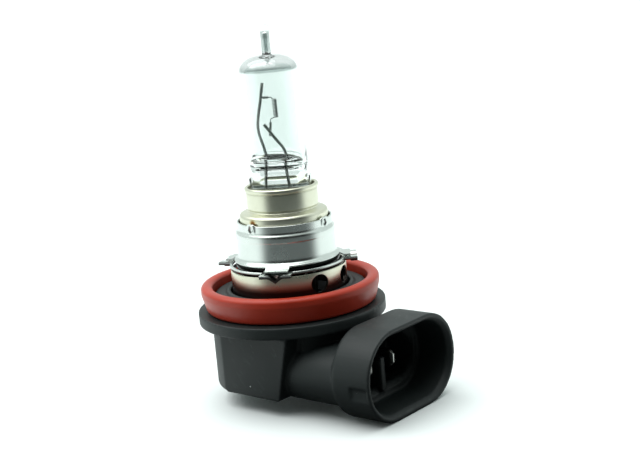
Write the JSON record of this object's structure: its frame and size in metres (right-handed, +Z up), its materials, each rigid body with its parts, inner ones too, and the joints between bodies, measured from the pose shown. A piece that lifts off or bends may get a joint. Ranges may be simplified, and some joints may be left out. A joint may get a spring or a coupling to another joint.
{
  "type": "headlight bulb",
  "caption": "Halogen headlight bulb with a three-lug metal cap, red seal ring and a two-blade side connector at a right angle to the bulb.",
  "frame": {"origin": "centre of the flat bottom face of the base, on the bulb's axis", "axes": "+Z up along the bulb's axis towards the exhaust tip, +X out of the connector's mouth, +Y completes a right-handed frame"},
  "size_m": [0.0394, 0.031, 0.0611],
  "materials": {
    "clear_glass": "clear, fire-polished, with a thin grey coat on the dome",
    "tungsten": "dull grey drawn wire",
    "molybdenum": "grey drawn wire",
    "nickelled_wire": "bright nickel",
    "spring_steel": "bright rolled sheet",
    "nickelled_steel": "warm nickel plate on drawn sheet",
    "bright_steel": "bright drawn sheet",
    "tinned_brass": "tin plate, satin",
    "black_plastic": "satin moulded glass-filled plastic",
    "grey_plastic": "matte moulded plastic",
    "dark_resin": "cast resin, slightly glossy",
    "red_silicone": "smooth silicone with a slight sheen"
  },
  "bodies": {
    "root": {"glass_envelope": "clear_glass", "filament": "tungsten", "upper_leg_sleeve": "molybdenum", "lower_leg_sleeve": "molybdenum", "long_support_wire": "molybdenum", "short_support_wire": "molybdenum", "long_lead_tail": "nickelled_wire", "short_lead_tail": "nickelled_wire", "pinch_clamp": "spring_steel", "upper_ferrule": "nickelled_steel", "focus_sleeve": "bright_steel", "lug_ring": "bright_steel", "base_cup": "nickelled_steel", "terminal_carrier": "grey_plastic", "blade_terminal_left": "tinned_brass", "blade_terminal_right": "tinned_brass", "connector_housing": "black_plastic", "sealing_compound": "dark_resin", "bottom_cover": "black_plastic", "seal_ring": "red_silicone"}
  },
  "joints": []
}
